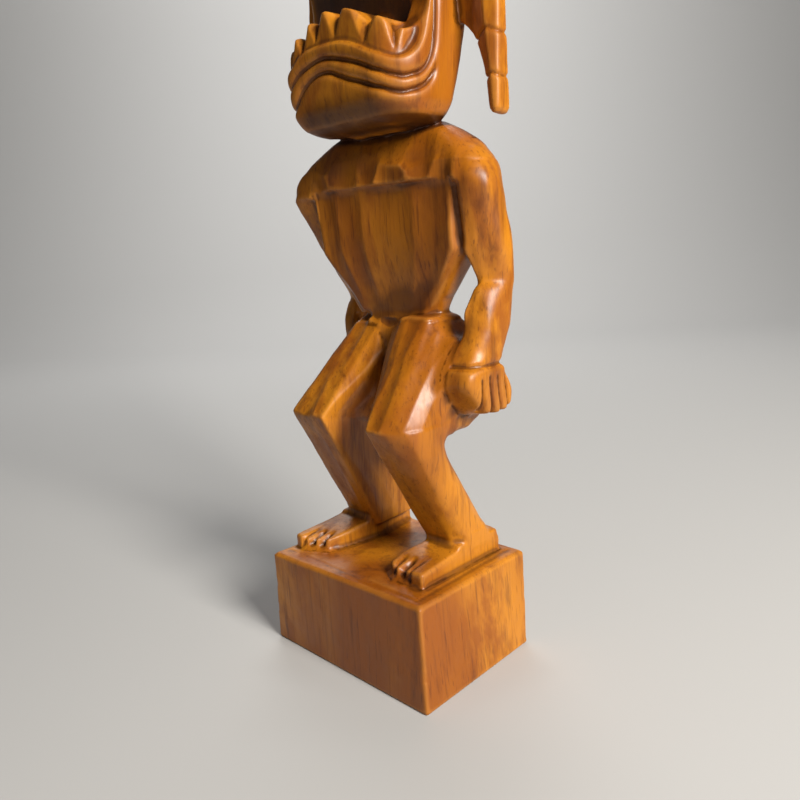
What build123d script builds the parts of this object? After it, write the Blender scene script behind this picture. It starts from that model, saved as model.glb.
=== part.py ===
from build123d import *
import os

# Carved wooden tiki figure on a square-cut base, dowelled together. Millimetres.
# The origin is the middle of the base's underside. The figure faces -Y, +Z is up,
# and "left" means the figure's own left, which is +X.

# ---------------------------------------------------------------- driving sizes
BASE_WIDTH = 107
BASE_DEPTH = 78
BASE_HEIGHT = 50
# The block is hewn a little out of square. (X, Y) corners of its underside and of its top.
BASE_FOOT_CORNERS = [(-53.5, -39), (53.5, -39), (53, 39), (-53, 39)]
BASE_TOP_CORNERS = [(-50.5, -40), (49, -36), (50, 41), (-50, 38)]

LEG_INNER = 17          # X of the face between the legs
LEG_OUTER = 41          # X of the outer face of the leg, where the hand rests
ARM_INNER = 43          # X of the joint between shoulder and torso
WAIST_Z = 170
ARMPIT_Z = 200
LEDGE_Z = 230           # height of the sharp ledge across the chest
NECK_Z = 254            # top of the shoulders, where the jaw sits
CROWN_Z = 372           # top of the face, where the headdress starts
TOP_Z = 432

DOWEL_RADIUS = 4
NECK_DOWEL_RADIUS = 5
LOCK_DOWEL_RADIUS = 3
DOWEL_FIT = 0.1         # radial room left for glue

# Dowel places: (X, Y) of upright ones, (Y, Z) of ones lying along X
FOOT_DOWEL_SPOTS = [(-29, 14), (29, 14)]
FOOT_DOWEL_BOTTOM = BASE_HEIGHT - 16
FOOT_DOWEL_TOP = BASE_HEIGHT + 18
HIP_DOWEL_SPOTS = [(11, 137), (15, 155)]
HIP_DOWEL_INNER = -33
HIP_DOWEL_LENGTH = 66
SHOULDER_DOWEL_SPOTS = [(15, 223), (17, 209)]
SHOULDER_DOWEL_INNER = 33
SHOULDER_DOWEL_LENGTH = 19
NECK_DOWEL_SPOTS = [(0, 15)]
NECK_DOWEL_BOTTOM = NECK_Z - 20
NECK_DOWEL_TOP = NECK_Z + 20
CROWN_DOWEL_SPOTS = [(-14, 12), (14, 12)]
CROWN_DOWEL_BOTTOM = CROWN_Z - 14
CROWN_DOWEL_TOP = CROWN_Z + 14
LOCK_DOWEL_SPOTS = [(20.5, 312), (20.5, 330)]
LOCK_DOWEL_INNER = 28
LOCK_DOWEL_LENGTH = 18

os.makedirs("parts", exist_ok=True)


def block_outline(half_width, front, back, front_cut, back_cut):
    """Eight-sided outline of a squared block with its four corners cut off."""
    w = half_width
    f = front_cut
    b = back_cut
    return [
        (-w + f, front), (w - f, front), (w, front + f), (w, back - b),
        (w - b, back), (-w + b, back), (-w, back - b), (-w, front + f),
    ]


def limb_plane(front, back):
    """Plane across a limb: local X is world X, local Y runs from the front point to the back one."""
    run = Vector(0, back[0] - front[0], back[1] - front[1])
    return Plane(origin=(0, front[0], front[1]), x_dir=(1, 0, 0), z_dir=Vector(1, 0, 0).cross(run))


def limb_outline(front, back, inner, inner_cut, outer_cut, back_cut):
    """Outline across the left leg, with its long edges pared away by the three cuts."""
    depth = Vector(back[0] - front[0], back[1] - front[1], 0).length
    return [
        (inner + inner_cut, 0), (LEG_OUTER - outer_cut, 0), (LEG_OUTER, outer_cut),
        (LEG_OUTER, depth - back_cut), (LEG_OUTER - back_cut, depth), (inner + back_cut, depth),
        (inner, depth - back_cut), (inner, inner_cut),
    ]


def arm_outline(inner, outer, inner_front, outer_front, back, corner):
    """Six-sided outline across an arm, flat on its inner side."""
    return [
        (inner, inner_front), (outer - corner, outer_front), (outer, outer_front + corner),
        (outer, back - corner), (outer - corner, back), (inner, back),
    ]


def upright_pegs(spots, bottom, top, radius):
    """Upright round pegs at the given (X, Y) spots."""
    with BuildSketch(Plane.XY.offset(bottom)) as pegs:
        with Locations(*spots):
            Circle(radius)
    return extrude(pegs.sketch, amount=top - bottom, mode=Mode.PRIVATE)


def cross_pegs(spots, inner_x, length, radius):
    """Round pegs lying along X at the given (Y, Z) spots."""
    with BuildSketch(Plane.YZ.offset(inner_x)) as pegs:
        with Locations(*spots):
            Circle(radius)
    return extrude(pegs.sketch, amount=length, mode=Mode.PRIVATE)


# ---------------------------------------------------------------- dowels
def foot_pegs(radius):
    return upright_pegs(FOOT_DOWEL_SPOTS, FOOT_DOWEL_BOTTOM, FOOT_DOWEL_TOP, radius)


def hip_pegs(radius):
    return cross_pegs(HIP_DOWEL_SPOTS, HIP_DOWEL_INNER, HIP_DOWEL_LENGTH, radius)


def shoulder_pegs(radius):
    return cross_pegs(SHOULDER_DOWEL_SPOTS, SHOULDER_DOWEL_INNER, SHOULDER_DOWEL_LENGTH, radius)


def neck_pegs(radius):
    return upright_pegs(NECK_DOWEL_SPOTS, NECK_DOWEL_BOTTOM, NECK_DOWEL_TOP, radius)


def crown_pegs(radius):
    return upright_pegs(CROWN_DOWEL_SPOTS, CROWN_DOWEL_BOTTOM, CROWN_DOWEL_TOP, radius)


def lock_pegs(radius):
    return cross_pegs(LOCK_DOWEL_SPOTS, LOCK_DOWEL_INNER, LOCK_DOWEL_LENGTH, radius)


HOLE_RADIUS = DOWEL_RADIUS + DOWEL_FIT
LOCK_HOLE_RADIUS = LOCK_DOWEL_RADIUS + DOWEL_FIT

with BuildPart() as foot_dowels:
    add(foot_pegs(DOWEL_RADIUS))

with BuildPart() as hip_dowels:
    add(hip_pegs(DOWEL_RADIUS))

with BuildPart() as shoulder_dowels:
    add(shoulder_pegs(DOWEL_RADIUS))
    mirror(about=Plane.YZ)

with BuildPart() as neck_dowel:
    add(neck_pegs(NECK_DOWEL_RADIUS))

with BuildPart() as headdress_dowels:
    add(crown_pegs(DOWEL_RADIUS))

with BuildPart() as hair_lock_dowels:
    add(lock_pegs(LOCK_DOWEL_RADIUS))
    mirror(about=Plane.YZ)

# ---------------------------------------------------------------- base block
BASE_TOP_BEVEL = 1

with BuildPart() as base_block:
    with BuildSketch(Plane.XY):
        Polygon(*BASE_FOOT_CORNERS, align=None)
    with BuildSketch(Plane.XY.offset(BASE_HEIGHT)):
        Polygon(*BASE_TOP_CORNERS, align=None)
    loft(ruled=True)
    chamfer(base_block.faces().sort_by(Axis.Z)[-1].edges(), BASE_TOP_BEVEL)
    add(foot_pegs(HOLE_RADIUS), mode=Mode.SUBTRACT)

# ---------------------------------------------------------------- legs
# (Y, Z) of the front and back of each section across the leg, from the ankle up
LEFT_ANKLE = ((6, 58), (31, 58))
RIGHT_ANKLE = ((6, 58), (36, 58))
LEFT_KNEE = ((-33, 123.5), (-4, 116))
RIGHT_KNEE = ((-28.5, 124), (14, 114))
LEFT_HIP = ((2, WAIST_Z), (13, 116))
RIGHT_HIP = ((7, WAIST_Z - 4), (17, 117))
SEAT = ((24, WAIST_Z), (26, 121))
RUMP = ((30, 154), (30, 132))
CROTCH_X = 2            # the thighs close up to this X where they meet the waist

# Each section with its inner X and its inner, outer and back edge cuts
LEFT_LEG_LEVELS = [
    (LEFT_ANKLE, (LEG_INNER, 1, 6, 4)),
    (LEFT_KNEE, (LEG_INNER, 0.5, 8, 3)),
    (LEFT_HIP, (CROTCH_X, 8, 14, 3)),
    (SEAT, (LEG_INNER, 2, 10, 5)),
    (RUMP, (LEG_INNER, 5, 6, 5)),
]
RIGHT_LEG_LEVELS = [
    (RIGHT_ANKLE, (LEG_INNER, 1, 3, 4)),
    (RIGHT_KNEE, (LEG_INNER, 0.5, 1, 3)),
    (RIGHT_HIP, (CROTCH_X, 8, 14, 3)),
    (SEAT, (LEG_INNER, 2, 10, 5)),
    (RUMP, (LEG_INNER, 5, 6, 5)),
]

# Plan of each foot on the base, toes first. The right foot is splayed a little outward.
LEFT_FOOT_PLAN = [(14, -20), (22, -25), (40, -24), (41, 33), (26, 34), (20, 10)]
RIGHT_FOOT_PLAN = [(25, -23), (38, -29), (46, -28), (42, 36), (24, 37), (20, 10)]
LEFT_TOE_GROOVES = [(20.5, -20), (26, -20), (31.5, -20)]
RIGHT_TOE_GROOVES = [(30, -22), (35, -23), (40, -24)]
TOE_HEIGHT = 7
HEEL_HEIGHT = 12
TOE_FRONT = -30
TOE_GROOVE_WIDTH = 1.6
TOE_GROOVE_LENGTH = 14
TOE_GROOVE_DEPTH = 4
INSTEP_PROFILE = [
    (TOE_FRONT, BASE_HEIGHT + TOE_HEIGHT), (4, BASE_HEIGHT + HEEL_HEIGHT - 1.5),
    (-14, BASE_HEIGHT + 2 * HEEL_HEIGHT), (TOE_FRONT, BASE_HEIGHT + 2 * HEEL_HEIGHT),
]


def leg_blank(levels, foot_plan, toe_grooves):
    """One leg with its foot, laid out on the figure's left."""
    with BuildPart() as blank:
        for section, cuts in levels:
            with BuildSketch(limb_plane(*section)):
                Polygon(*limb_outline(*section, *cuts), align=None)
        loft(ruled=True)
        with BuildSketch(Plane.XY.offset(BASE_HEIGHT)):
            Polygon(*foot_plan, align=None)
        extrude(amount=HEEL_HEIGHT)
        with BuildSketch(Plane.YZ):
            Polygon(*INSTEP_PROFILE, align=None)
        extrude(amount=BASE_WIDTH / 2, mode=Mode.SUBTRACT)
        with BuildSketch(Plane.XY.offset(BASE_HEIGHT + TOE_HEIGHT - TOE_GROOVE_DEPTH)):
            with Locations(*toe_grooves):
                Rectangle(TOE_GROOVE_WIDTH, TOE_GROOVE_LENGTH)
        extrude(amount=HEEL_HEIGHT, mode=Mode.SUBTRACT)
    return blank.part


left_leg_blank = leg_blank(LEFT_LEG_LEVELS, LEFT_FOOT_PLAN, LEFT_TOE_GROOVES)
right_leg_blank = leg_blank(RIGHT_LEG_LEVELS, RIGHT_FOOT_PLAN, RIGHT_TOE_GROOVES)

with BuildPart() as left_leg:
    add(left_leg_blank)
    add(foot_pegs(HOLE_RADIUS), mode=Mode.SUBTRACT)
    add(hip_pegs(HOLE_RADIUS), mode=Mode.SUBTRACT)

with BuildPart() as right_leg:
    mirror(right_leg_blank, about=Plane.YZ)
    add(foot_pegs(HOLE_RADIUS), mode=Mode.SUBTRACT)
    add(hip_pegs(HOLE_RADIUS), mode=Mode.SUBTRACT)

# ---------------------------------------------------------------- shoulders and torso
# At each height: half width, front Y, back Y, front corner cut, back corner cut
DOME_LEVELS = [
    (LEDGE_Z + 8, (53, 1, 27, 5, 9)),
    (247, (42, 4, 27, 6, 8)),
    (NECK_Z, (29, 8, 25, 6, 6)),
]
ARM_TOP_LEVELS = [(LEDGE_Z - 3, (59, -1, 25, 4, 8))] + DOME_LEVELS
CHEST_LEVELS = [(LEDGE_Z, (58, 0, 25, 4, 8))] + DOME_LEVELS
TRUNK_LEVELS = [
    (WAIST_Z, (25, 7, 23, 5, 6)),
    (ARMPIT_Z, (ARM_INNER + 2, 3, 26, 5, 6)),
    (LEDGE_Z, (ARM_INNER + 3, 0.5, 26.5, 4, 4)),
]
SHOULDER_TURN = 3.5     # degrees, brings the figure's right shoulder forward
PELVIS_PROFILE = [(6, WAIST_Z), (23, WAIST_Z), (27, 150), (22, 124), (9, 124), (4, 146)]

with BuildPart() as arm_tops:
    for height, sizes in ARM_TOP_LEVELS:
        with BuildSketch(Plane.XY.offset(height).rotated((0, 0, SHOULDER_TURN))):
            Polygon(*block_outline(*sizes), align=None)
    loft(ruled=True)

with BuildPart() as torso:
    for height, sizes in CHEST_LEVELS:
        with BuildSketch(Plane.XY.offset(height).rotated((0, 0, SHOULDER_TURN))):
            Polygon(*block_outline(*sizes), align=None)
    loft(ruled=True)
    for height, sizes in TRUNK_LEVELS:
        with BuildSketch(Plane.XY.offset(height).rotated((0, 0, SHOULDER_TURN))):
            Polygon(*block_outline(*sizes), align=None)
    loft(ruled=True)
    split(bisect_by=Plane.YZ.offset(ARM_INNER), keep=Keep.BOTTOM)
    split(bisect_by=Plane.YZ.offset(-ARM_INNER), keep=Keep.TOP)
    with BuildSketch(Plane.YZ):
        Polygon(*PELVIS_PROFILE, align=None)
    extrude(amount=LEG_INNER, both=True)
    add(left_leg.part, mode=Mode.SUBTRACT)
    add(right_leg.part, mode=Mode.SUBTRACT)
    add(hip_pegs(HOLE_RADIUS), mode=Mode.SUBTRACT)
    add(neck_pegs(NECK_DOWEL_RADIUS + DOWEL_FIT), mode=Mode.SUBTRACT)
    add(shoulder_pegs(HOLE_RADIUS), mode=Mode.SUBTRACT)
    add(mirror(shoulder_pegs(HOLE_RADIUS), about=Plane.YZ, mode=Mode.PRIVATE), mode=Mode.SUBTRACT)

# ---------------------------------------------------------------- arms
ELBOW_Z = 184
RIGHT_ELBOW_Z = 174
WRIST_Z = 149
FINGER_TIP_Z = 126
HAND_THICKNESS = 16
FINGER_GROOVE_WIDTH = 1.6
FINGER_GROOVE_DEPTH = 2
FINGER_LENGTH = 15

# Both arms are laid out on the figure's left. The right one hangs further back.
# At each height: inner X, outer X, inner front Y, outer front Y, back Y, corner cut
LEFT_UPPER_ARM_LEVELS = [
    (LEDGE_Z - 3, (ARM_INNER, 58, 3, 3.5, 26, 4)),
    (ARMPIT_Z, (ARM_INNER, 58.5, 6, 14, 30, 4)),
    (ELBOW_Z, (45, 57, 13, 21, 31, 3)),
]
LEFT_FOREARM_LEVELS = [
    (ELBOW_Z, (46, 57, 9, 14, 31, 4)),
    (166, (43, 57, 3, 6, 29, 4)),
    (WRIST_Z, (LEG_OUTER, 56, -3, -2, 21, 4)),
]
RIGHT_UPPER_ARM_LEVELS = [
    (LEDGE_Z - 3, (ARM_INNER, 58, 0, -4, 26, 2)),
    (ARMPIT_Z, (ARM_INNER, 57, 9, 12, 33, 3)),
    (RIGHT_ELBOW_Z, (ARM_INNER, 54, 23, 28, 40, 3)),
]
RIGHT_FOREARM_LEVELS = [
    (RIGHT_ELBOW_Z, (ARM_INNER, 54, 21, 24, 40, 3)),
    (165, (42, 54, 19, 20, 39, 3)),
    (WRIST_Z, (LEG_OUTER, 53, 18, 20, 36, 3)),
]
LEFT_HAND_PROFILE = [(-5, WRIST_Z), (-8, 141), (6, FINGER_TIP_Z), (24, 127), (26, 136), (19, WRIST_Z)]
RIGHT_HAND_PROFILE = [(18, WRIST_Z), (17, 141), (22, FINGER_TIP_Z), (38, 127), (40, 136), (37, WRIST_Z)]
LEFT_FINGER_GROOVE_YS = (5, 11.5, 18)
RIGHT_FINGER_GROOVE_YS = (22, 27.5, 33)


def arm_blank(upper_levels, forearm_levels, hand_profile, finger_groove_ys):
    """Upper arm, forearm and hand below the shoulder."""
    with BuildPart() as blank:
        for levels in (upper_levels, forearm_levels):
            for height, sizes in levels:
                with BuildSketch(Plane.XY.offset(height)):
                    Polygon(*arm_outline(*sizes), align=None)
            loft(ruled=True)
        with BuildSketch(Plane.YZ.offset(LEG_OUTER)):
            Polygon(*hand_profile, align=None)
        extrude(amount=HAND_THICKNESS)
        with BuildSketch(Plane.YZ.offset(LEG_OUTER + HAND_THICKNESS - FINGER_GROOVE_DEPTH)):
            for groove_y in finger_groove_ys:
                with Locations((groove_y, FINGER_TIP_Z + FINGER_LENGTH / 2)):
                    Rectangle(FINGER_GROOVE_WIDTH, FINGER_LENGTH)
        extrude(amount=2 * FINGER_GROOVE_DEPTH, mode=Mode.SUBTRACT)
    return blank.part


left_arm_blank = arm_blank(
    LEFT_UPPER_ARM_LEVELS, LEFT_FOREARM_LEVELS, LEFT_HAND_PROFILE, LEFT_FINGER_GROOVE_YS)
right_arm_blank = arm_blank(
    RIGHT_UPPER_ARM_LEVELS, RIGHT_FOREARM_LEVELS, RIGHT_HAND_PROFILE, RIGHT_FINGER_GROOVE_YS)

with BuildPart() as left_arm:
    add(arm_tops.part)
    split(bisect_by=Plane.YZ.offset(ARM_INNER), keep=Keep.TOP)
    add(left_arm_blank)
    add(shoulder_pegs(HOLE_RADIUS), mode=Mode.SUBTRACT)

with BuildPart() as right_arm:
    add(arm_tops.part)
    split(bisect_by=Plane.YZ.offset(-ARM_INNER), keep=Keep.BOTTOM)
    mirror(right_arm_blank, about=Plane.YZ)
    add(mirror(shoulder_pegs(HOLE_RADIUS), about=Plane.YZ, mode=Mode.PRIVATE), mode=Mode.SUBTRACT)

# ---------------------------------------------------------------- head
HEAD_SIDE = 37
HEAD_FRONT = -20
# At each height: half width, front Y, back Y, front corner cut, back corner cut
HEAD_LEVELS = [
    (NECK_Z, (32, -13, 22, 10, 12)),
    (262, (35, -18.5, 23.5, 9, 10.5)),
    (274, (36, HEAD_FRONT, 25, 8, 8)),
    (298, (HEAD_SIDE, HEAD_FRONT, 28, 6, 3)),
    (345, (HEAD_SIDE, HEAD_FRONT, 29, 8, 3)),
    (CROWN_Z, (34, -16, 29, 8, 5)),
]
MOUTH_BACK = 4
MOUTH_LOW = 289         # floor of the mouth at the middle, where the lip rises highest
MOUTH_HIGH = 322
MOUTH_SWELL_X = 18      # the mouth is highest this far either side of the middle
LIP_DROP = 10           # how much lower the floor lies at the corners of the jaw
LIP_PINCH = 5           # how far the upper lip closes in at the middle and at the corners
TOOTH_PITCH = 9.5
TOOTH_HEIGHT = 11
TOOTH_PAIRS = 4

mouth_floor = []
for tooth in range(-TOOTH_PAIRS, TOOTH_PAIRS + 1):
    gap_x = (tooth - 0.5) * TOOTH_PITCH
    tip_x = tooth * TOOTH_PITCH
    mouth_floor.append((gap_x, MOUTH_LOW - LIP_DROP * min(1, abs(gap_x) / HEAD_SIDE)))
    mouth_floor.append((tip_x, MOUTH_LOW + TOOTH_HEIGHT - LIP_DROP * min(1, abs(tip_x) / HEAD_SIDE)))
mouth_end = TOOTH_PAIRS * TOOTH_PITCH + TOOTH_PITCH
mouth_roof = [
    (mouth_end, MOUTH_HIGH - LIP_PINCH), (MOUTH_SWELL_X, MOUTH_HIGH), (0, MOUTH_HIGH - LIP_PINCH),
    (-MOUTH_SWELL_X, MOUTH_HIGH), (-mouth_end, MOUTH_HIGH - LIP_PINCH),
]

NOSE_OUTLINE = [(-17, 324), (17, 324), (13, 336), (5, 356), (-5, 356), (-13, 336)]
NOSE_FRONT = -28
EYE_SPOTS = [(-20, 350), (20, 350)]
EYE_RADIUS = 8
EYE_DEPTH = 4

with BuildPart() as head:
    for height, sizes in HEAD_LEVELS:
        with BuildSketch(Plane.XY.offset(height)):
            Polygon(*block_outline(*sizes), align=None)
    loft(ruled=True)
    with BuildSketch(Plane.XZ.offset(-MOUTH_BACK)):
        Polygon(*mouth_floor, *mouth_roof, align=None)
    extrude(amount=2 * MOUTH_BACK - 2 * HEAD_FRONT, mode=Mode.SUBTRACT)
    with BuildSketch(Plane.XZ.offset(-MOUTH_BACK)):
        Polygon(*NOSE_OUTLINE, align=None)
    extrude(amount=MOUTH_BACK - NOSE_FRONT)
    with BuildSketch(Plane.XZ.offset(-HEAD_FRONT - EYE_DEPTH)):
        with Locations(*EYE_SPOTS):
            Circle(EYE_RADIUS)
    extrude(amount=2 * EYE_DEPTH, mode=Mode.SUBTRACT)
    add(neck_pegs(NECK_DOWEL_RADIUS + DOWEL_FIT), mode=Mode.SUBTRACT)
    add(crown_pegs(HOLE_RADIUS), mode=Mode.SUBTRACT)
    add(lock_pegs(LOCK_HOLE_RADIUS), mode=Mode.SUBTRACT)
    add(mirror(lock_pegs(LOCK_HOLE_RADIUS), about=Plane.YZ, mode=Mode.PRIVATE), mode=Mode.SUBTRACT)

# ---------------------------------------------------------------- headdress
HEADDRESS_LEVELS = [
    (CROWN_Z, (36, -18, 31, 8, 8)),
    (386, (41, -19, 34, 9, 9)),
    (TOP_Z, (30, 4, 34, 7, 7)),
]
NOTCH_XS = (-24, -12, 0, 12, 24)
NOTCH_WIDTH = 6
NOTCH_DEPTH = 12
NOTCH_OUTLINE = [(-NOTCH_WIDTH / 2, 1), (0, -NOTCH_DEPTH), (NOTCH_WIDTH / 2, 1)]

with BuildPart() as headdress:
    for height, sizes in HEADDRESS_LEVELS:
        with BuildSketch(Plane.XY.offset(height)):
            Polygon(*block_outline(*sizes), align=None)
    loft(ruled=True)
    with BuildSketch(Plane.XZ):
        for notch_x in NOTCH_XS:
            with Locations((notch_x, TOP_Z)):
                Polygon(*NOTCH_OUTLINE, align=None)
    extrude(amount=BASE_DEPTH / 2, both=True, mode=Mode.SUBTRACT)
    add(crown_pegs(HOLE_RADIUS), mode=Mode.SUBTRACT)

# ---------------------------------------------------------------- hair locks
LOCK_FRONT = 15
LOCK_BACK = 25
LOCK_RIDGE_CUT = 2
RIGHT_LOCK_RISE = 11    # the right lock is carved a little shorter and sits higher
# (X, Z) outline of the lock, flat against the side of the head
LOCK_OUTLINE = [
    (HEAD_SIDE, 293), (44, 287), (51.5, 270), (54, 254), (58, 256), (58.5, 300), (50, 345), (HEAD_SIDE, 345),
]

with BuildPart() as left_lock_blank:
    with BuildSketch(Plane.XZ.offset(-LOCK_BACK)):
        Polygon(*LOCK_OUTLINE, align=None)
    extrude(amount=LOCK_BACK - LOCK_FRONT)
    front_edges = left_lock_blank.faces().sort_by(Axis.Y)[0].edges()
    chamfer(front_edges.filter_by(lambda edge: edge.center().X > HEAD_SIDE + 1), LOCK_RIDGE_CUT)

with BuildPart() as left_hair_lock:
    add(left_lock_blank.part)
    add(lock_pegs(LOCK_HOLE_RADIUS), mode=Mode.SUBTRACT)

with BuildPart() as right_hair_lock:
    with Locations((0, 0, RIGHT_LOCK_RISE)):
        add(mirror(left_lock_blank.part, about=Plane.YZ, mode=Mode.PRIVATE))
    add(mirror(lock_pegs(LOCK_HOLE_RADIUS), about=Plane.YZ, mode=Mode.PRIVATE), mode=Mode.SUBTRACT)

# ---------------------------------------------------------------- export
PIECES = {
    "base_block": base_block,
    "left_leg": left_leg,
    "right_leg": right_leg,
    "torso": torso,
    "left_arm": left_arm,
    "right_arm": right_arm,
    "head": head,
    "headdress": headdress,
    "left_hair_lock": left_hair_lock,
    "right_hair_lock": right_hair_lock,
    "foot_dowels": foot_dowels,
    "hip_dowels": hip_dowels,
    "shoulder_dowels": shoulder_dowels,
    "neck_dowel": neck_dowel,
    "headdress_dowels": headdress_dowels,
    "hair_lock_dowels": hair_lock_dowels,
}

for node_name, piece in PIECES.items():
    piece.part.label = node_name
    export_step(piece.part, "parts/" + node_name + ".step")
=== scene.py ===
import math

import bpy
import numpy as np
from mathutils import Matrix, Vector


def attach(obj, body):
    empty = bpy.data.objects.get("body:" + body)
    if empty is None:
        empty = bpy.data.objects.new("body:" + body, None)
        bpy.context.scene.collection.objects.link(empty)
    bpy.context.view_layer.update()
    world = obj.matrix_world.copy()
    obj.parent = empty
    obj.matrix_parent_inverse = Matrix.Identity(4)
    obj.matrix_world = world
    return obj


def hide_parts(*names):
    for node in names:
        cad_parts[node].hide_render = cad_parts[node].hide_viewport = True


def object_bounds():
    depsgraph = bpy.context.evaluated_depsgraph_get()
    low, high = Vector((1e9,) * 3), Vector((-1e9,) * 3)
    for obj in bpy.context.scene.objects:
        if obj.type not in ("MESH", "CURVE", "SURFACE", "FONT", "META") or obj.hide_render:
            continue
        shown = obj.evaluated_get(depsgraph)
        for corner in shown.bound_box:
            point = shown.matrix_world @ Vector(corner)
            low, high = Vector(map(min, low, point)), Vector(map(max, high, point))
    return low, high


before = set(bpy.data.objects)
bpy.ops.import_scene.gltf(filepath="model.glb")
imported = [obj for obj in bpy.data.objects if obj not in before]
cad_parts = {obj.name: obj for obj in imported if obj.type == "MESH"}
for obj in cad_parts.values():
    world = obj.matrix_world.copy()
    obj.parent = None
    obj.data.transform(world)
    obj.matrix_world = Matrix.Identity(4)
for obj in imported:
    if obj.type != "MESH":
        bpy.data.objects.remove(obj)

import openvdb as vdb
from mathutils import Matrix, Vector

# Carved hardwood tiki figure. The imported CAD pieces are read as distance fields, joined, worn
# round, carved with tool marks, and cut apart again along the CAD joints. Lengths are in
# millimetres unless a name or a comment says otherwise. +X is the figure's left, -Y its front,
# +Z up.

cad_box = [[round(c, 6) for c in corner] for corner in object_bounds()]

MM = 0.001
VOXEL = 0.65
BAND = 7.0                      # distance kept either side of a surface

BODY_NODES = ["base_block", "left_leg", "right_leg", "torso", "left_arm", "right_arm"]
HEAD_NODES = ["head", "headdress", "left_hair_lock", "right_hair_lock"]
DOWEL_NODES = ["foot_dowels", "hip_dowels", "shoulder_dowels", "neck_dowel",
               "headdress_dowels", "hair_lock_dowels"]
WOOD_NODES = BODY_NODES + HEAD_NODES

# ---------------------------------------------------------------- the working grid
GRID_MARGIN = 4
low = np.array(cad_box[0]) / MM - GRID_MARGIN
high = np.array(cad_box[1]) / MM + GRID_MARGIN
FIRST = np.floor(low / VOXEL).astype(int)
SHAPE = tuple((np.ceil(high / VOXEL).astype(int) - FIRST + 1).tolist())
X = ((FIRST[0] + np.arange(SHAPE[0])) * VOXEL).astype(np.float32)[:, None, None]
Y = ((FIRST[1] + np.arange(SHAPE[1])) * VOXEL).astype(np.float32)[None, :, None]
Z = ((FIRST[2] + np.arange(SHAPE[2])) * VOXEL).astype(np.float32)[None, None, :]
TRANSFORM = vdb.createLinearTransform(voxelSize=VOXEL)


def z_slab(z_low, z_high):
    """Slice of the grid's Z index between two heights."""
    a = int(np.clip(round(z_low / VOXEL) - FIRST[2], 0, SHAPE[2]))
    b = int(np.clip(round(z_high / VOXEL) - FIRST[2] + 1, 0, SHAPE[2]))
    return slice(a, b)


def level_set(points, triangles=None, quads=None):
    """Dense array of distances to a closed mesh, negative inside, clamped at BAND."""
    grid = vdb.FloatGrid.createLevelSetFromPolygons(
        np.ascontiguousarray(points, np.float32),
        triangles=None if triangles is None else np.ascontiguousarray(triangles, np.uint32),
        quads=None if quads is None else np.ascontiguousarray(quads, np.uint32),
        transform=TRANSFORM, halfWidth=BAND / VOXEL)
    dense = np.empty(SHAPE, np.float32)
    grid.copyToArray(dense, ijk=tuple(int(i) for i in FIRST))
    return np.clip(dense, -BAND, BAND)


def surface(field):
    """Points and quads of a field's zero surface."""
    grid = vdb.FloatGrid(BAND)
    grid.copyFromArray(np.ascontiguousarray(field), ijk=tuple(int(i) for i in FIRST), tolerance=0.0)
    grid.transform = TRANSFORM
    points, quads = grid.convertToQuads(isovalue=0.0)
    return points, quads


def largest_shell(points, quads):
    """Drops the crumbs that a cut leaves beside a piece."""
    label = np.arange(len(points))
    while True:
        lowest = label[quads].min(axis=1)
        joined = label.copy()
        np.minimum.at(joined, quads.ravel(), np.repeat(lowest, 4))
        joined = joined[joined]
        if np.array_equal(joined, label):
            break
        label = joined
    kept = label == np.bincount(label).argmax()
    renumbered = np.cumsum(kept) - 1
    return points[kept], renumbered[quads[kept[quads[:, 0]]]]


def node_level_set(node):
    """Distances to the surface of one CAD node."""
    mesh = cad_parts[node].data
    mesh.calc_loop_triangles()
    points = np.empty(len(mesh.vertices) * 3, np.float32)
    mesh.vertices.foreach_get("co", points)
    triangles = np.empty(len(mesh.loop_triangles) * 3, np.int32)
    mesh.loop_triangles.foreach_get("vertices", triangles)
    return level_set(points.reshape(-1, 3) / MM, triangles=triangles.reshape(-1, 3))


def smooth_step(value, start, end):
    """0 before start, 1 after end, and an S curve between them."""
    t = np.clip((value - start) / (end - start), 0, 1)
    return t * t * (3 - 2 * t)


def bump(value, centre, half_width):
    """1 at the centre, falling smoothly to 0 at half_width either side."""
    return 1 - smooth_step(np.abs(value - centre), 0, half_width)


def bell(value, width):
    """Bell curve, 1 where the value is 0."""
    return np.exp(-(value / width) ** 2)


def stripes(value):
    """0 in the middle of each whole step of the value and 1 at its ends."""
    return np.abs(2 * (value % 1) - 1)


def tent(value, half_width):
    """1 where the value is 0, falling straight to 0 at half_width either side."""
    return np.clip(1 - np.abs(value) / half_width, 0, 1)


def blurred(field, sigma):
    """Gaussian blur along all three axes."""
    sigma = sigma / VOXEL
    reach = int(math.ceil(2.5 * sigma))
    taps = np.exp(-0.5 * (np.arange(-reach, reach + 1) / sigma) ** 2)
    taps = (taps / taps.sum()).astype(np.float32)
    out = field
    for axis in range(3):
        pad = [(0, 0)] * 3
        pad[axis] = (reach, reach)
        padded = np.pad(out, pad, mode="edge")
        total = np.zeros_like(field)
        for k, tap in enumerate(taps):
            window = [slice(None)] * 3
            window[axis] = slice(k, k + field.shape[axis])
            total += tap * padded[tuple(window)]
        out = total
    return out


def smooth_max(a, b, k):
    """Larger of two fields with the crease between them rounded over k."""
    h = np.maximum(k - np.abs(a - b), 0) / k
    return np.maximum(a, b) + h * h * k / 4


def smooth_min(a, b, k):
    """Smaller of two fields with the crease between them filled over k."""
    return -smooth_max(-a, -b, k)


def banded(field):
    return np.clip(field, -BAND, BAND)


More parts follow.
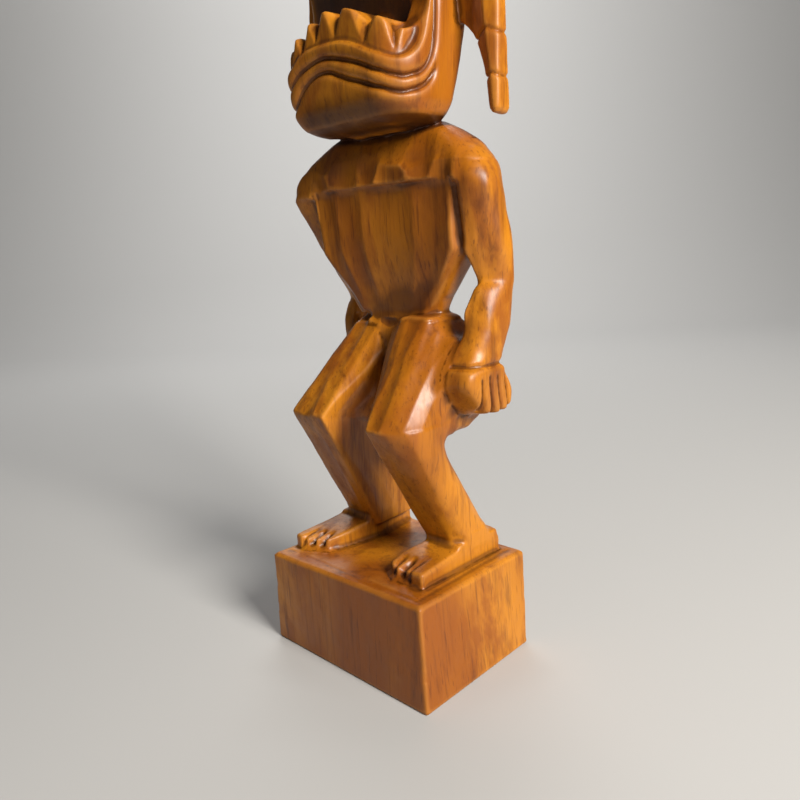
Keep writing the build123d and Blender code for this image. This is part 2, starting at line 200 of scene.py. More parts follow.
# ---------------------------------------------------------------- curves in a plane
def smooth_curve(points, steps=8):
    """Catmull-Rom curve through the points, as an array of (u, v)."""
    p = np.array([points[0]] + list(points) + [points[-1]], float)
    out = []
    for i in range(1, len(p) - 2):
        for t in np.arange(steps) / steps:
            out.append(0.5 * (2 * p[i] + (p[i + 1] - p[i - 1]) * t
                              + (2 * p[i - 1] - 5 * p[i] + 4 * p[i + 1] - p[i + 2]) * t * t
                              + (3 * p[i] - p[i - 1] - 3 * p[i + 1] + p[i + 2]) * t ** 3))
    out.append(p[-2])
    return np.array(out, np.float32)


def closed_curve(points, steps=8):
    return smooth_curve(points + points[:1], steps)


def curve_distance(u, v, curve):
    """Distance from each point of the arrays u, v to a curve."""
    best = np.full(np.broadcast(u, v).shape, 1e6, np.float32)
    for a, b in zip(curve[:-1], curve[1:]):
        d = b - a
        t = np.clip(((u - a[0]) * d[0] + (v - a[1]) * d[1]) / (d @ d + 1e-9), 0, 1)
        best = np.minimum(best, (u - a[0] - t * d[0]) ** 2 + (v - a[1] - t * d[1]) ** 2)
    return np.sqrt(best)


def inside_curve(u, v, curve):
    """True where the points lie inside a closed curve."""
    inside = np.zeros(np.broadcast(u, v).shape, bool)
    for (u0, v0), (u1, v1) in zip(curve, np.roll(curve, -1, axis=0)):
        if v0 == v1:
            continue
        crosses = (v0 > v) != (v1 > v)
        inside ^= crosses & (u < (u1 - u0) * (v - v0) / (v1 - v0) + u0)
    return inside


def rounded_section(half_width, front, back, corner, x=X, y=Y):
    """Distance to a rounded rectangle in plan, for every column of the slab."""
    middle = (front + back) / 2
    dx = np.abs(x) - (half_width - corner)
    dy = np.abs(y - middle) - ((back - front) / 2 - corner)
    outside = np.sqrt(np.maximum(dx, 0) ** 2 + np.maximum(dy, 0) ** 2)
    return outside + np.minimum(np.maximum(dx, dy), 0) - corner


# ---------------------------------------------------------------- head block
# Half width, front Y and back Y of the head at each height
HEAD_HEIGHTS = [252, 256, 262, 274, 298, 345, 374]
HEAD_HALF_WIDTHS = [29, 32.5, 35, 36, 37, 37, 34.5]
HEAD_FRONTS = [-10, -15, -18.5, -20, -20, -20, -16.5]
HEAD_BACKS = [14, 16, 18.5, 22, 27.5, 29.5, 29]
LEFT_CORNER_HEIGHTS = [252, 290, 330, 374]
LEFT_CORNER_RADII = [14, 16, 14, 10]        # the head's front left corner is the roundest
OTHER_CORNER_RADIUS = 6
HEAD_BOTTOM = 253
HEAD_TOP = 372.5
HEAD_SLAB = (246, 380)          # heights between which the head is drawn
NAPE_HALF_WIDTH = 17
NAPE_BACK = 24
NAPE_BOTTOM = 252.5
NAPE_TOP = 284


def head_block(z):
    """The head before its face is carved."""
    half_width = np.interp(z, HEAD_HEIGHTS, HEAD_HALF_WIDTHS)
    front = np.interp(z, HEAD_HEIGHTS, HEAD_FRONTS)
    back = np.interp(z, HEAD_HEIGHTS, HEAD_BACKS)
    left_corner = np.interp(z, LEFT_CORNER_HEIGHTS, LEFT_CORNER_RADII)
    corner = np.where((X > 0) & (Y < 4), left_corner, OTHER_CORNER_RADIUS)
    body = rounded_section(half_width, front, back, corner).astype(np.float32)
    body = smooth_max(body, np.maximum(HEAD_BOTTOM - z, z - HEAD_TOP), 5)
    body = blurred(banded(body), 1.3) - 0.3
    # a rounded nape behind the jaw covers the neck dowel
    nape = rounded_section(NAPE_HALF_WIDTH, 0, NAPE_BACK, 7).astype(np.float32)
    nape = smooth_max(nape, np.maximum(NAPE_BOTTOM - z, z - NAPE_TOP), 4)
    return smooth_min(body, banded(nape), 5)


# ---------------------------------------------------------------- mouth
# The lower face is drawn flat and wrapped round the head: u runs round it from the middle of
# the front (36 is the front corner, 56 is Y = 0 on the side), v is the height.
TURN_X = 25                     # where the flat front starts to turn into the side
TURN_Y = -9                     # where the turn ends on the side
TURN_RUN = 22                   # length of the turn in the flat drawing
WRAP_LIMIT = 84
FLAT_STEP = 0.5                 # grid of the flat drawing
flat_u = np.arange(-WRAP_LIMIT, WRAP_LIMIT + 0.01, FLAT_STEP, dtype=np.float32)[:, None]
flat_v = np.arange(HEAD_SLAB[0], HEAD_SLAB[1] + 1, FLAT_STEP, dtype=np.float32)[None, :]

# Rim of the mouth, and the two grooves that follow it
LIP_RIM = [
    (58, 308), (56.5, 299), (55, 292), (52.5, 284), (48, 278.5), (42, 276), (36, 275.3), (30, 276),
    (23, 278), (16, 281.3), (10, 284), (3.5, 286), (-3, 286.8), (-12, 287), (-22, 286),
    (-31, 281.5), (-38, 278), (-44, 277.5), (-50, 281), (-55, 290), (-57.5, 300), (-58, 312),
    (-54, 326), (-44, 333), (-30, 334), (-16, 331), (0, 328), (16, 331), (30, 334), (44, 333),
    (54, 326), (58, 316),
]
UPPER_GROOVE = [
    (61.5, 308), (60.5, 299), (60, 290), (59, 282), (56, 275.8), (52, 272), (47.5, 270.3),
    (41.5, 269.5), (35, 270), (29, 271), (22, 273.3), (16, 276), (10, 278.3), (3, 280.4), (-3, 282),
    (-10, 282.8), (-18, 281.5), (-27, 278.5), (-34, 274.5), (-41, 271), (-48, 271), (-55, 276),
    (-60, 287), (-61.5, 300), (-61.5, 314), (-58, 330), (-47, 338), (-30, 339), (-14, 336),
    (0, 333), (14, 336), (30, 339), (47, 338), (58, 330), (61.5, 316),
]
LOWER_GROOVE = [
    (60.5, 277), (59, 272.5), (55.5, 268.2), (51, 265.6), (46, 264.2), (40, 263.7),
    (34.5, 264), (28, 265), (21, 267), (14, 269.7), (7, 272), (1, 274.4), (-5, 276.7),
    (-11, 277), (-17, 275.7), (-23, 272.5), (-29, 268), (-37, 264.5), (-46, 264.2), (-55, 268),
    (-59, 272.5), (-60.5, 277),
]
GROOVE_END_U = 50               # the lower groove fades out past this, towards the cheek
LOWER_TIPS = [
    (-66, 304), (-55, 293), (-46, 290), (-34, 293), (-23, 297), (-14, 301), (-3, 301.6), (7, 299.5),
    (15, 296), (24, 293), (33, 290), (42, 288.3), (48, 288.3), (53, 291), (58, 299), (66, 304),
]
UPPER_TIPS = [
    (-66, 312), (-50, 325), (-30, 327), (-15, 324), (0, 321), (15, 324), (30, 327), (50, 325),
    (66, 312),
]
# Place of the foot of each flute between the teeth, and half its width at the rim
FLUTES = [(-46, 281, 6), (-34, 283, 5.4), (-23, 286.5, 5), (-13.5, 290, 5), (-1, 289.7, 6),
          (17, 284, 7), (36, 279, 7.6)]
MOUTH_MIDDLE = 308
UPPER_FLUTE_HEIGHT = 14
UPPER_GUM_RISE = 15             # upper flutes mirror the lower ones, this much higher
DEEPEST_CUT = 5.5
MOUTH_BACK = 5
MOUTH_BACK_CURVE = 0.0035
GUM_DEPTH = 1.9
SIDE_GUM_DEPTH = 2.2            # more, at the corners of the mouth
FACE_END_Y = (12, 18)           # the carving fades out on the sides between these


def head_wrap(x, y):
    """How far round the head a place lies, from the middle of the front."""
    across = np.abs(x) - TURN_X
    back = y - TURN_Y
    turn = np.arctan2(np.maximum(across, 0), np.maximum(-back, 1e-3)) / (math.pi / 2)
    round_corner = TURN_X + TURN_RUN * turn
    side = TURN_X + TURN_RUN + back
    u = np.where(across <= 0, np.abs(x), np.where(back >= 0, side, round_corner))
    return np.where(x < 0, -u, u)


def wrapped(table, around, z):
    """A flat drawing's values at places round the head."""
    iu = np.clip((around + WRAP_LIMIT) / FLAT_STEP, 0, table.shape[0] - 1.01)
    iv = np.clip((z - HEAD_SLAB[0]) / FLAT_STEP, 0, table.shape[1] - 1.01)
    iu, iv = np.broadcast_arrays(iu, iv)
    a = iu.astype(np.int32)
    b = iv.astype(np.int32)
    fu = (iu - a).astype(np.float32)
    fv = (iv - b).astype(np.float32)
    return ((table[a, b] * (1 - fu) + table[a + 1, b] * fu) * (1 - fv)
            + (table[a, b + 1] * (1 - fu) + table[a + 1, b + 1] * fu) * fv)


def tip_line(tips):
    """Height of the tooth tips for each u of the flat drawing."""
    curve = smooth_curve(tips)
    return np.interp(flat_u, curve[:, 0], curve[:, 1])


def v_groove(distance):
    """A sharp groove with softly rounded shoulders."""
    return 1.9 * bell(distance, 0.95) + 0.7 * bell(distance, 2.4)


def flute_cuts(tip_height, in_mouth):
    """Wedges cut out between the teeth, deeper and wider towards the tips."""
    cuts = np.zeros(in_mouth.shape, np.float32)
    for flute_u, flute_v, half_width in FLUTES:
        rise = np.clip((flat_v - flute_v) / (tip_height - flute_v + 1e-3), 0, 1.1)
        cut = tent(flat_u - flute_u, half_width * rise + 0.2) * (0.3 + 4.4 * rise)
        cuts += np.where(flat_v > flute_v, cut, 0) * (flat_v < MOUTH_MIDDLE)
        upper_v = 2 * MOUTH_MIDDLE + UPPER_GUM_RISE - flute_v
        rise = np.clip((upper_v - flat_v) / UPPER_FLUTE_HEIGHT, 0, 1.2)
        cut = tent(flat_u - flute_u, half_width * rise + 0.2) * (0.4 + 2.8 * rise)
        cuts += np.where(flat_v < upper_v, cut, 0) * (flat_v > MOUTH_MIDDLE) * in_mouth
    return cuts


def mouth_drawing(tip_height):
    """Depth of the carving round the mouth, as a flat drawing."""
    rim = closed_curve(LIP_RIM)
    in_mouth = inside_curve(flat_u, flat_v, rim)
    to_rim = curve_distance(flat_u, flat_v, rim)
    to_upper_groove = curve_distance(flat_u, flat_v, closed_curve(UPPER_GROOVE))
    to_lower_groove = curve_distance(flat_u, flat_v, smooth_curve(LOWER_GROOVE))
    # gums and teeth are set back behind the lip
    gum = GUM_DEPTH + SIDE_GUM_DEPTH * smooth_step(np.abs(flat_u), 36, 52)
    depth = np.where(in_mouth, gum * smooth_step(to_rim, 0, 2.6), 0)
    depth += v_groove(to_upper_groove)
    groove_fade = 1 - smooth_step(flat_v, 269, 277) * (np.abs(flat_u) > GROOVE_END_U)
    depth += groove_fade * v_groove(to_lower_groove)
    return np.minimum(depth + flute_cuts(tip_height, in_mouth), DEEPEST_CUT)


def mouth_cavity(tip_height, around, z):
    """The open mouth, with a notch in its floor and roof at each flute. Negative inside."""
    u = flat_u[:, 0]
    floor_line = tip_height.copy()[:, 0]
    roof_line = tip_line(UPPER_TIPS)[:, 0]
    for flute_u, flute_v, half_width in FLUTES:
        notch = tent(u - flute_u, half_width)
        floor_line -= 3.2 * notch ** 1.5
        roof_line += 3.0 * notch
    floor_height = np.interp(around, u, floor_line)
    roof_height = np.interp(around, u, roof_line)
    back_wall = MOUTH_BACK - MOUTH_BACK_CURVE * np.abs(X) ** 2
    return smooth_max(smooth_max(floor_height - z, z - roof_height, 3), Y - back_wall, 4)


def head_form():
    """The head with its mouth carved, and how much painted shade darkens the inside of the mouth."""
    slab = z_slab(*HEAD_SLAB)
    z = Z[:, :, slab]
    around = head_wrap(X, Y)
    tip_height = tip_line(LOWER_TIPS)
    carving = wrapped(mouth_drawing(tip_height), around, z) * (1 - smooth_step(Y, *FACE_END_Y))
    cavity = mouth_cavity(tip_height, around, z)
    body = smooth_max(head_block(z) + carving, -cavity, 0.5)
    # painted shade: the open mouth is darkened inside, fading out towards the front and the left cheek
    painted_shade_in_mouth = (1 - smooth_step(cavity, 0, 2.5)) * smooth_step(Y, -17, -6) * (1 - smooth_step(X, 20, 28))
    return slab, body.astype(np.float32), painted_shade_in_mouth.astype(np.float32)


# ---------------------------------------------------------------- brow, nose and eyes
NOSE_HEIGHTS = [333, 337, 343, 352, 362]
NOSE_HALF_WIDTHS = [9, 12, 10.5, 6, 5]
NOSE_RISE_HEIGHTS = [333, 337, 346, 358, 364]
NOSE_RISES = [6.5, 8, 6.5, 3.5, 2]
NOSE_MIDDLE = 346
NOSE_HALF_HEIGHT = 18
WING_X = 9.5
WING_Z = 338
WING_RADIUS = 6.5
NOSTRIL_X = 6
NOSTRIL_Z = 333.5
NOSTRIL_RADIUS = 3.2
EYE_X = 21.5
EYE_Z = 352
EYE_SLANT = 0.18
EYE_HALF_WIDTH = 12.5
EYE_HALF_HEIGHT = 6.6
BALL_HALF_WIDTH = 8.5
BALL_HALF_HEIGHT = 4.6
BROW_Z = 364
BROW_ARCH = 1.5
BROW_END_X = (33, 38)


def nose_lift(across, z):
    """A wedge that widens to two nostril wings over the upper lip."""
    half = np.interp(z, NOSE_HEIGHTS, NOSE_HALF_WIDTHS)
    rise = np.interp(z, NOSE_RISE_HEIGHTS, NOSE_RISES)
    bridge = rise * (1 - smooth_step(across, half * 0.35, half))
    bridge = bridge * bump(z, NOSE_MIDDLE, NOSE_HALF_HEIGHT) ** 0.3
    wing = 3.2 * bump(np.hypot(across - WING_X, z - WING_Z), 0, WING_RADIUS)
    to_nostril = np.sqrt((across - NOSTRIL_X) ** 2 * 0.8 + (z - NOSTRIL_Z) ** 2)
    return bridge + wing - 2.4 * bump(to_nostril, 0, NOSTRIL_RADIUS)


def eye_lift(across, z):
    """Almond rims round a domed eye in a shallow socket."""
    eu = across - EYE_X
    ev = z - EYE_Z - EYE_SLANT * eu
    taper = np.clip(1 - (eu / 16) ** 2, 0.2, 1)
    almond = np.sqrt((eu / EYE_HALF_WIDTH) ** 2 + (ev / (EYE_HALF_HEIGHT * taper)) ** 2)
    socket = 2.6 * (1 - smooth_step(almond, 0.75, 1.05))
    ball = np.clip(1 - (eu / BALL_HALF_WIDTH) ** 2 - (ev / BALL_HALF_HEIGHT) ** 2, 0, 1)
    return 1.3 * bell(almond - 1.14, 0.10) + 3.2 * np.sqrt(ball) - socket


def brow_lift(across, z):
    """A heavy brow across the whole face with a cut line under it."""
    above = z - BROW_Z - BROW_ARCH * np.cos(across / 37 * math.pi)
    return (3.0 * bell(above, 3.2) - 1.2 * bell(above + 5, 1.2)) * (1 - smooth_step(across, *BROW_END_X))


def add_upper_face(slab, body):
    """A plain brow, nose and eyes above the mouth."""
    z = Z[:, :, slab]
    front = np.interp(z, HEAD_HEIGHTS, HEAD_FRONTS)
    across = np.abs(X)
    lift = (nose_lift(across, z) + eye_lift(across, z) + brow_lift(across, z)) * smooth_step(-Y, 2, 8)
    # ahead of the face the distance goes on growing past the band, so that the lift ends somewhere
    body = np.maximum(body, front - Y - 0.5)
    return np.minimum(body - lift, BAND).astype(np.float32)


# ---------------------------------------------------------------- headdress
# Half width, front Y and back Y of the headdress at each height
HEADDRESS_HEIGHTS = [371, 376, 386, 432]
HEADDRESS_HALF_WIDTHS = [35, 38.5, 41, 31]
HEADDRESS_FRONTS = [-17, -18.5, -19, 3]
HEADDRESS_BACKS = [30, 32, 34, 34]
HEADDRESS_SLAB = (366, 436)
HEADDRESS_BOTTOM = 371.5
HEADDRESS_TOP = 431.5
STAVE_TIPS = 431
FRONT_STAVES = 7
SIDE_STAVES = 5
STAVES_START = (382, 385)       # the staves rise out of the band between these heights
BAND_TOP_LINE = 383.2
BAND_LOW_LINE = 374.6
ZIGZAG_Z = 376.8
ZIGZAG_PITCH = 11.0
ZIGZAG_HEIGHT = 4.0


def headdress_form():
    """Tall swept-back headdress: a band with a zigzag, then upright staves with notched ends."""
    slab = z_slab(*HEADDRESS_SLAB)
    z = Z[:, :, slab]
    half_width = np.interp(z, HEADDRESS_HEIGHTS, HEADDRESS_HALF_WIDTHS)
    front = np.interp(z, HEADDRESS_HEIGHTS, HEADDRESS_FRONTS)
    back = np.interp(z, HEADDRESS_HEIGHTS, HEADDRESS_BACKS)
    form = rounded_section(half_width, front, back, 8)
    form = np.maximum(form, np.maximum(HEADDRESS_BOTTOM - z, z - HEADDRESS_TOP))
    form = blurred(banded(form.astype(np.float32)), 1.0)

    # staves up the front and back, and up the sides
    reach = X / half_width
    front_gap = stripes(reach * FRONT_STAVES / 2 + 0.5)
    side_gap = stripes((Y - front) / (back - front) * SIDE_STAVES)
    on_staves = smooth_step(z, *STAVES_START)
    on_front = smooth_step(np.abs((Y - (front + back) / 2) / (back - front) * 2), 0.75, 0.9)
    on_side = smooth_step(np.abs(reach), 0.8, 0.95) * (1 - on_front)
    groove = on_staves * (2.0 * front_gap ** 5 * on_front + 1.6 * side_gap ** 5 * on_side)
    # V notches between the stave ends, two lines and a zigzag round the band
    form = smooth_max(form, (z - (STAVE_TIPS - 9.0 * front_gap ** 3)) * 0.8, 1.5)
    lines = 1.3 * bell(z - BAND_TOP_LINE, 0.9) + 1.0 * bell(z - BAND_LOW_LINE, 0.9)
    zigzag_height = ZIGZAG_Z + ZIGZAG_HEIGHT * stripes(X / ZIGZAG_PITCH + 0.5)
    zigzag = 0.9 * bell(z - zigzag_height, 0.8) * (np.abs(Y - (front + back) / 2) > 15)
    return slab, (form + groove + lines + zigzag).astype(np.float32)


# ---------------------------------------------------------------- hair locks
LOCK_OUTLINE = [
    (34, 296), (44, 287), (50.5, 272), (53.2, 256.5), (54.6, 254.2), (57.2, 254.4), (58.3, 258),
    (58.2, 275), (57.8, 300), (55.5, 328), (49, 345), (34, 347),
]
LOCK_RIDGE_HEIGHTS = [254, 272, 300, 345]
LOCK_RIDGE_XS = [56.3, 55.0, 51.5, 45]
LOCK_FRONT = 15
LOCK_BACK = 25
LOCK_SLAB = (246, 366)
LOCK_GROOVES = (286, 268.5, 318)
LOCK_RISE = {1: 0, -1: 11}      # the right lock sits higher


def lock_form(side):
    """A faceted, pointed lock of hair on one side of the head, with a ridge down its front."""
    rise = LOCK_RISE[side]
    slab = z_slab(*LOCK_SLAB)
    z = Z[:, :, slab] - rise
    x = X * side
    outline = closed_curve(LOCK_OUTLINE, 4)
    plan = curve_distance(x, z, outline)
    plan = np.where(inside_curve(x, z, outline), -plan, plan)
    off_ridge = np.abs(x - np.interp(z, LOCK_RIDGE_HEIGHTS, LOCK_RIDGE_XS))
    # the facets level off where the dowels run from the head into the lock
    facet_width = np.interp(z, [296 - rise, 308 - rise], [8, 3])
    front = LOCK_FRONT + 0.42 * np.minimum(off_ridge, facet_width)
    back = LOCK_BACK - 0.30 * np.minimum(off_ridge, facet_width - 3)
    form = smooth_max(plan, np.maximum(front - Y, Y - back), 1.2)
    grooves = 0
    for groove_z in LOCK_GROOVES:
        chevron = groove_z + 1.2 - 0.45 * off_ridge
        grooves = grooves + 0.9 * bell(z - chevron, 0.65)
    outside = smooth_step(x, 38, 40)
    return slab, (banded(form) + grooves * outside).astype(np.float32)


# ---------------------------------------------------------------- the joined blank
ARM_INNER = 42.5                # X of the plane between torso and arm
WELD = 0.45                     # joints narrower than twice this close up
PARED_X = (28, 43)              # the left thigh's outer top slopes down between these
PARED_Z = (171, 158)

TURN_ANGLE = math.radians(3.5)  # turn of the shoulders, which brings the right one forward
# Half width, front Y and back Y of the shoulder dome at each height
DOME_HEIGHTS = [226, 230, 234, 238, 243, 247, 251, 255]
DOME_HALF_WIDTHS = [59, 58.5, 56.5, 53.5, 48.5, 43.5, 37, 29]
DOME_FRONTS = [0, 0, 0.4, 1.2, 2.8, 4.2, 6, 8.5]
DOME_BACKS = [26, 26.5, 27, 27, 27, 27, 26, 25]
DOME_TOP = 255.2
DOME_SLAB = (224, 262)

print("grid", SHAPE)
node_fields = {}
for node in WOOD_NODES:
    node_fields[node] = node_level_set(node)
dowels = node_level_set(DOWEL_NODES[0])
for node in DOWEL_NODES[1:]:
    dowels = np.minimum(dowels, node_level_set(node))


def joined_body():
    """Base, legs, torso and arms as one field, with no walls left in the joints."""
    body = dowels.copy()
    for name in ("base_block", "left_leg", "right_leg", "torso"):
        body = np.minimum(body, node_fields[name])
    # each hand and forearm runs into the thigh through a hollow fillet
    fillet = 0.2 + 4.0 * smooth_step(Z, 148, 154) * (1 - smooth_step(Z, 168, 184))
    for name in ("left_arm", "right_arm"):
        body = smooth_min(body, node_fields[name], fillet)
    run = PARED_X[1] - PARED_X[0]
    drop = PARED_Z[0] - PARED_Z[1]
    pared = ((X - PARED_X[0]) * drop + (Z - PARED_Z[0]) * run) / math.hypot(run, drop)
    beside_arm = (X > PARED_X[0]) & (X < ARM_INNER) & (Z > 140) & (Z < 178)
    body = np.where(beside_arm, smooth_max(body, banded(pared), 3), body).astype(np.float32)
    # swell, remesh and shrink back
    points, quads = surface(body - WELD)
    return level_set(points, quads=quads) + WELD


def shoulder_dome():
    """One smooth dome over the chest and the arms."""
    slab = z_slab(*DOME_SLAB)
    z = Z[:, :, slab]
    x = X * math.cos(TURN_ANGLE) + Y * math.sin(TURN_ANGLE)
    y = Y * math.cos(TURN_ANGLE) - X * math.sin(TURN_ANGLE)
    dome = rounded_section(
        np.interp(z, DOME_HEIGHTS, DOME_HALF_WIDTHS), np.interp(z, DOME_HEIGHTS, DOME_FRONTS),
        np.interp(z, DOME_HEIGHTS, DOME_BACKS), np.where(x > 0, 9, 4), x, y)
    return slab, banded(smooth_max(dome, z - DOME_TOP, 1.5)), smooth_step(z, 228, 234)


def sanded_zones():
    """Where the carver sanded most, 0 to 1."""
    left = X > 0
    dome = 0.8 * smooth_step(Z, 236, 241) * (1 - smooth_step(Z, 253, 256))
    arms = smooth_step(np.abs(X), 44, 48) * (1 - smooth_step(Z, 251, 256))
    arms = arms * (0.45 + 0.55 * smooth_step(Z, 150, 155)) * smooth_step(Z, 118, 124)
    arms = arms * np.where(left, 0.95, 0.4)
    legs = smooth_step(np.abs(X), 24, 32) * smooth_step(Z, 60, 74) * (1 - smooth_step(Z, 168, 176))
    legs = legs * np.where(left, 0.95, 0.5) * (np.abs(X) < 43.5)
    hips = 0.6 * smooth_step(Z, 136, 150) * (1 - smooth_step(Z, 200, 220)) * smooth_step(Y, 6, 14)
    return np.maximum(np.maximum(dome, arms), np.maximum(legs, hips))


def melted_zones():
    """Where edges are rounded away altogether: the left shoulder, thigh and shin, and the ankles."""
    shoulder = smooth_step(X, 42, 47) * smooth_step(Z, 206, 216) * (1 - smooth_step(Z, 246, 254))
    thigh = 0.8 * smooth_step(X, 26, 34) * smooth_step(Z, 98, 122) * (1 - smooth_step(Z, 164, 172))
    thigh = thigh * (1 - smooth_step(Y, 4, 16))
    ankle = 0.25 * smooth_step(Z, 56, 59) * (1 - smooth_step(Z, 62, 68))
    shin = 0.8 * smooth_step(X, 24, 32) * smooth_step(Z, 64, 72) * (1 - smooth_step(Z, 106, 116))
    return np.maximum(np.maximum(shoulder, thigh), np.maximum(ankle, shin))


def worn(body):
    """Rounds every edge a little, and the sanded zones more."""
    light = blurred(body, 0.5)
    heavy = blurred(body, 2.4)
    soft = blurred(heavy, 3.2)
    body = light + (heavy - light) * np.clip(sanded_zones(), 0, 1)
    return body + (soft - body) * np.clip(melted_zones(), 0, 1)


head_slab, head, mouth_painted_shade = head_form()
head = add_upper_face(head_slab, head)
headdress_slab, headdress = headdress_form()

whole = joined_body()
dome_slab, dome, dome_share = shoulder_dome()
whole[:, :, dome_slab] += (dome - whole[:, :, dome_slab]) * dome_share
whole = worn(whole)

# the base keeps its sawn edges
below_feet = 1 - smooth_step(Z, 47.5, 49.5)
plain_base = blurred(np.minimum(node_fields["base_block"], dowels - WELD), 0.6)
whole = whole + (plain_base - whole) * below_feet

whole[:, :, head_slab] = np.minimum(whole[:, :, head_slab], head)
whole[:, :, headdress_slab] = np.minimum(whole[:, :, headdress_slab], headdress)
for side in (1, -1):
    lock_slab, lock = lock_form(side)
    whole[:, :, lock_slab] = np.minimum(whole[:, :, lock_slab], lock)
np.minimum(whole, dowels, out=whole)

# ---------------------------------------------------------------- tool marks
# Depths are added at the grid points near the surface only
CARVED_SHELL = 5.6
IX, IY, IZ = np.nonzero(np.abs(whole) < CARVED_SHELL)
PX = X[IX, 0, 0]
PY = Y[0, IY, 0]
PZ = Z[0, 0, IZ]
carve = np.zeros(len(PX), np.float32)


def hashed(i, j, k, seed):
    """Repeatable random number in 0..1 for each lattice cell."""
    n = (i * 374761393 + j * 668265263 + k * 1274126177 + seed * 974634777) & 0x7FFFFFFF
    n = ((n ^ (n >> 13)) * 1103515245 + 12345) & 0x7FFFFFFF
    return ((n ^ (n >> 16)) & 0xFFFF) / 65535.0


def gouge_marks(u, v, w, cell, seed):
    """Shallow dishes with ridges between them: 1 in the middle of a dish, 0 or less at its rim."""
    i = np.floor(u / cell[0]).astype(np.int64)
    j = np.floor(v / cell[1]).astype(np.int64)
    k = np.floor(w / cell[2]).astype(np.int64)
    best = np.full(len(u), 9.0, np.float32)
    for di in (-1, 0, 1):
        for dj in (-1, 0, 1):
            for dk in (-1, 0, 1):
                a, b, c = i + di, j + dj, k + dk
                du = u / cell[0] - (a + 0.2 + 0.6 * hashed(a, b, c, seed))
                dv = v / cell[1] - (b + 0.2 + 0.6 * hashed(a, b, c, seed + 1))
                dw = w / cell[2] - (c + 0.2 + 0.6 * hashed(a, b, c, seed + 2))
                best = np.minimum(best, (du * du + dv * dv + dw * dw).astype(np.float32))
    return 1 - best * 2.2


def lattice_noise(u, v, w, cell, seed):
    """Smooth noise between -1 and 1."""
    u, v, w = u / cell, v / cell, w / cell
    i, j, k = (np.floor(t).astype(np.int64) for t in (u, v, w))
    fu, fv, fw = (t - np.floor(t) for t in (u, v, w))
    fu, fv, fw = (t * t * (3 - 2 * t) for t in (fu, fv, fw))
    total = 0
    for di in (0, 1):
        for dj in (0, 1):
            for dk in (0, 1):
                weight = ((fu if di else 1 - fu) * (fv if dj else 1 - fv) * (fw if dk else 1 - fw))
                total = total + weight * hashed(i + di, j + dj, k + dk, seed)
    return (2 * total - 1).astype(np.float32)


def carve_where(condition, cuts):
    """Adds the depth that cuts gives to the carving where the condition holds."""
    pick = np.nonzero(condition)[0]
    if len(pick):
        carve[pick] += cuts(PX[pick], PY[pick], PZ[pick]).astype(np.float32)


LEDGE_Z = 230                   # foot of the shoulder dome, over the chest
KNEE_Z = 124
THIGH_SLOPE = 35 / 46           # how far the thigh runs back as it rises, and the shin forward
SHIN_SLOPE = -39 / 65.5
# ridges between the torso's upright facets, as parts of its half width
TORSO_RIDGES = [-1.3, -0.93, -0.62, -0.27, 0.42, 0.86, 1.3]
# line where the belly meets the tops of the thighs
WAIST_LINE_X = [-41, -28, -16, -3, 2, 12, 24, 32, 41]
WAIST_LINE_Z = [158, 165, 167, 163, 164, 170, 173, 170, 160]
FINGER_PITCH = 5.6
RIGHT_HAND_BACK = 17            # the right hand lies this much further back
WRIST_LINE_Z = 149.3


def dome_cuts(x, y, z):
    """Dished cuts over the shoulders, deeper just above the chest ledge."""
    over_arm = smooth_step(np.abs(x), 38, 43) * (1 - smooth_step(z, 228, 244))
    over_ledge = (1 - smooth_step(z, 236, 243)) * (1 - smooth_step(y, 2, 10)) * (np.abs(x) < 43)
    return (0.7 + 1.3 * over_ledge) * (1 - over_arm) * gouge_marks(x, y, z, (16, 18, 15), 21)


def limb_cuts(x, y, z):
    """Long flat cuts along the thighs and shins."""
    slope = np.where(z > KNEE_Z, THIGH_SLOPE, SHIN_SLOPE)
    along = z + y * slope
    across = y - (z - KNEE_Z) * slope
    strength = np.where(z > KNEE_Z, 0.75, 0.4)
    return strength * gouge_marks(x, across, along, (8.0, 9.0, 70.0), 31)


def torso_cuts(x, y, z):
    """Broad upright facets that fan out from the waist."""
    reach = x / np.interp(z, [170, 200, 230], [27, 44, 48])
    cut = np.zeros(len(x))
    for start, end in zip(TORSO_RIDGES[:-1], TORSO_RIDGES[1:]):
        across = (reach - start) / (end - start)
        inside = (across > 0) & (across <= 1)
        cut += np.where(inside, 1 - (2 * across - 1) ** 2, 0)
    return 0.75 * cut * smooth_step(z, 172, 186) * (1 - smooth_step(z, 226, 230))


def arm_cuts(x, y, z):
    return 0.5 * gouge_marks(x, y, z, (10, 10, 46), 41)


def chest_cuts(x, y, z):
    """Sets the chest back under its ledge, and the belly behind the tops of the thighs."""
    above_thighs = z - np.interp(x, WAIST_LINE_X, WAIST_LINE_Z)
    belly = 1.5 * smooth_step(above_thighs, -0.6, 2.6) * (1 - smooth_step(z, 176, 196))
    return 1.2 * smooth_step(z, 206, 226) + belly


def armpit_groove(x, y, z):
    """The groove between chest and left arm."""
    return 2.4 * tent(x - ARM_INNER, 3.2) * smooth_step(z, 196, 206) * (1 - smooth_step(z, 226, 230))


def finger_cuts(x, y, z, last):
    """V grooves between the fingers, from below the knuckles down; last is the hand's back edge."""
    fan = (y - 3.5 + 0.16 * (z - 140)) / FINGER_PITCH
    knuckle = 1 - smooth_step(z, 142, 146.5)
    on_fingers = smooth_step(y, 1.5, 3.5) * (1 - smooth_step(y, last - 2, last)) * knuckle
    return 2.4 * stripes(fan) ** 4 * on_fingers * smooth_step(x, 49, 53)


def left_finger_cuts(x, y, z):
    return finger_cuts(x, y, z, 29)


def right_finger_cuts(x, y, z):
    return finger_cuts(-x, y - RIGHT_HAND_BACK, z, 20)


def wrist_cuts(x, y, z):
    return 1.1 * bell(z - WRIST_LINE_Z, 1.0)


